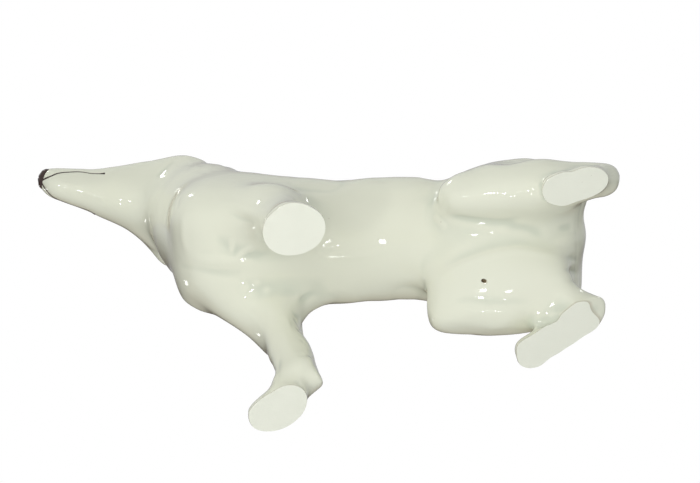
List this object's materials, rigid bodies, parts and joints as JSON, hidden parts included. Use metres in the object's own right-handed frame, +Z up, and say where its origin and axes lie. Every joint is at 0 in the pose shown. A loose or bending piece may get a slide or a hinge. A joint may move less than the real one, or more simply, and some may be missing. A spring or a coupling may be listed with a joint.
{
  "type": "porcelain dog figurine",
  "caption": "Glazed white porcelain figurine of a prick-eared dog, half sitting on folded hind legs with its head raised and its tail curled over the rump, standing on flat ground soles.",
  "frame": {"origin": "middle of the figurine's footprint box, on the surface that it stands on", "axes": "+Z up; -X the way the dog faces, its length along X; -Y its left side"},
  "size_m": [0.25, 0.108, 0.2021],
  "materials": {
    "glazed_porcelain": "clear glossy glaze over cream-white porcelain; the ground soles are bare and matt"
  },
  "bodies": {
    "root": {"trunk": "glazed_porcelain", "head": "glazed_porcelain", "left_ear": "glazed_porcelain", "right_ear": "glazed_porcelain", "left_foreleg": "glazed_porcelain", "right_foreleg": "glazed_porcelain", "left_hind_leg": "glazed_porcelain", "right_hind_leg": "glazed_porcelain", "tail": "glazed_porcelain"}
  },
  "joints": []
}
